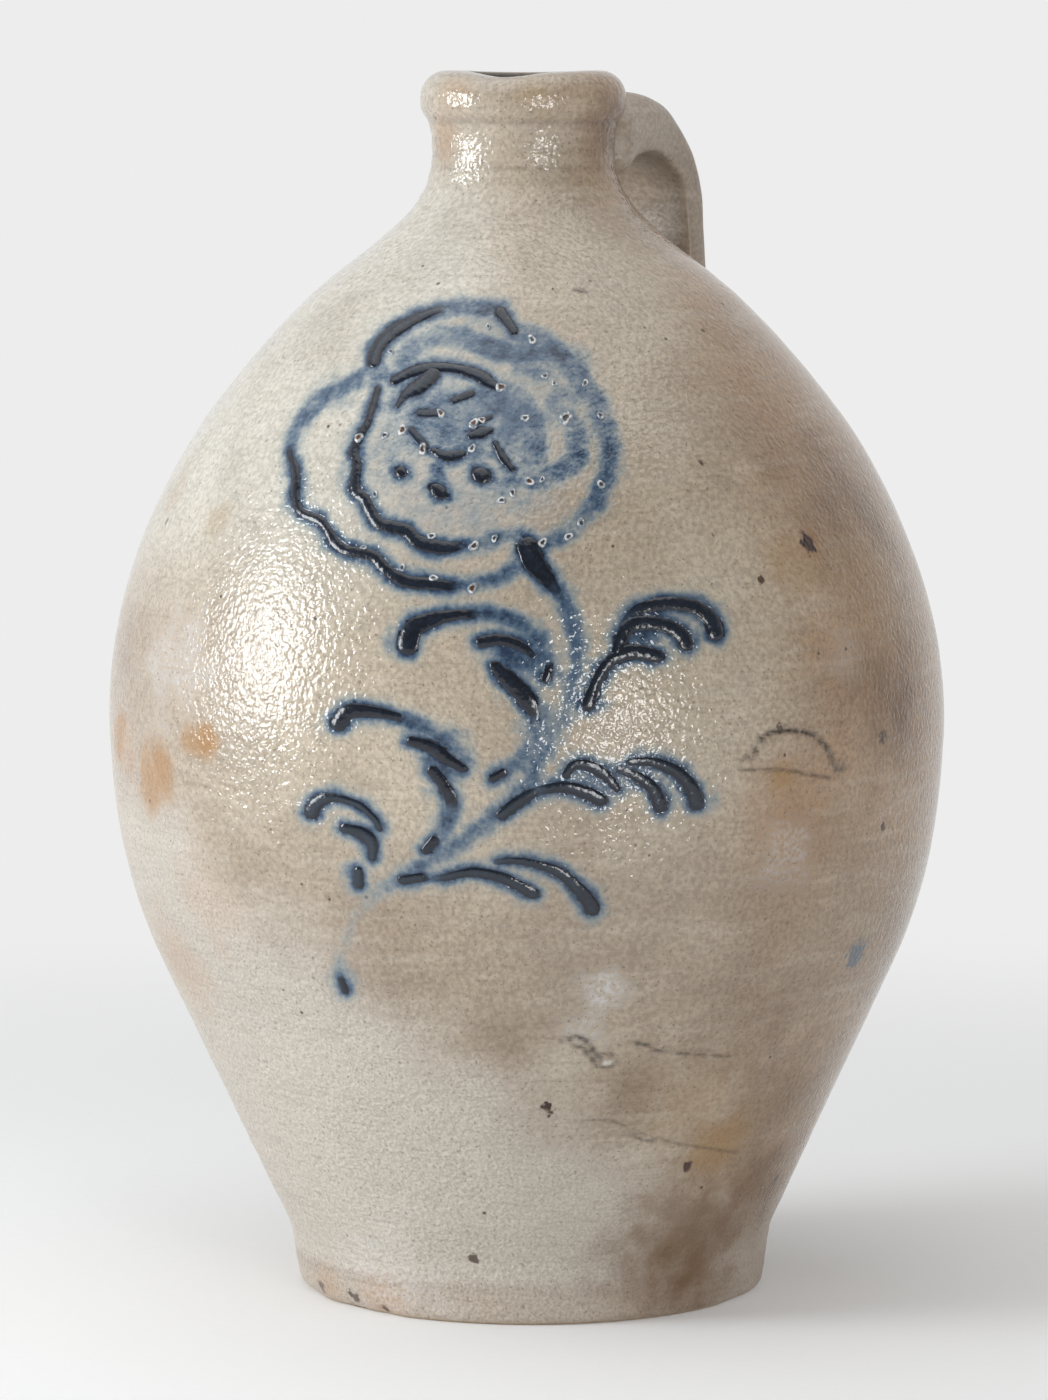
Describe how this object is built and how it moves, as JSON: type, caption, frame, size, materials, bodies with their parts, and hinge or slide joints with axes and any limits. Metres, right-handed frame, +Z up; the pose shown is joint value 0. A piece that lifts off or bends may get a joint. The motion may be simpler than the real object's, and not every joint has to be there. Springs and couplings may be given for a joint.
{
  "type": "stoneware jug",
  "caption": "Ovoid salt-glazed stoneware jug with a narrow collared neck, a strap handle behind it and a raised blue slip flower spray on the front.",
  "frame": {"origin": "centre of the flat underside, on the body's axis", "axes": "+Z up along the body's axis through the mouth, +Y towards the handle, decorated side seen from azimuth 35 degrees"},
  "size_m": [0.24, 0.2405, 0.35],
  "materials": {
    "salt_glaze": "glossy salt glaze with an orange-peel skin, grey-tan",
    "handle_glaze": "glossy salt glaze, browner than the body",
    "cobalt_slip": "glossy dark blue slip under the glaze"
  },
  "bodies": {
    "root": {"jug_body": "salt_glaze", "strap_handle": "handle_glaze", "bloom_outer_rim": "cobalt_slip", "bloom_inner_rim": "cobalt_slip", "bloom_arches": "cobalt_slip", "bloom_dots": "cobalt_slip", "bloom_heart": "cobalt_slip", "stem": "cobalt_slip", "leaf_left_upper": "cobalt_slip", "leaf_left_middle": "cobalt_slip", "leaf_left_lower": "cobalt_slip", "leaf_right_upper": "cobalt_slip", "leaf_right_middle": "cobalt_slip", "leaf_right_lower": "cobalt_slip"}
  },
  "joints": []
}
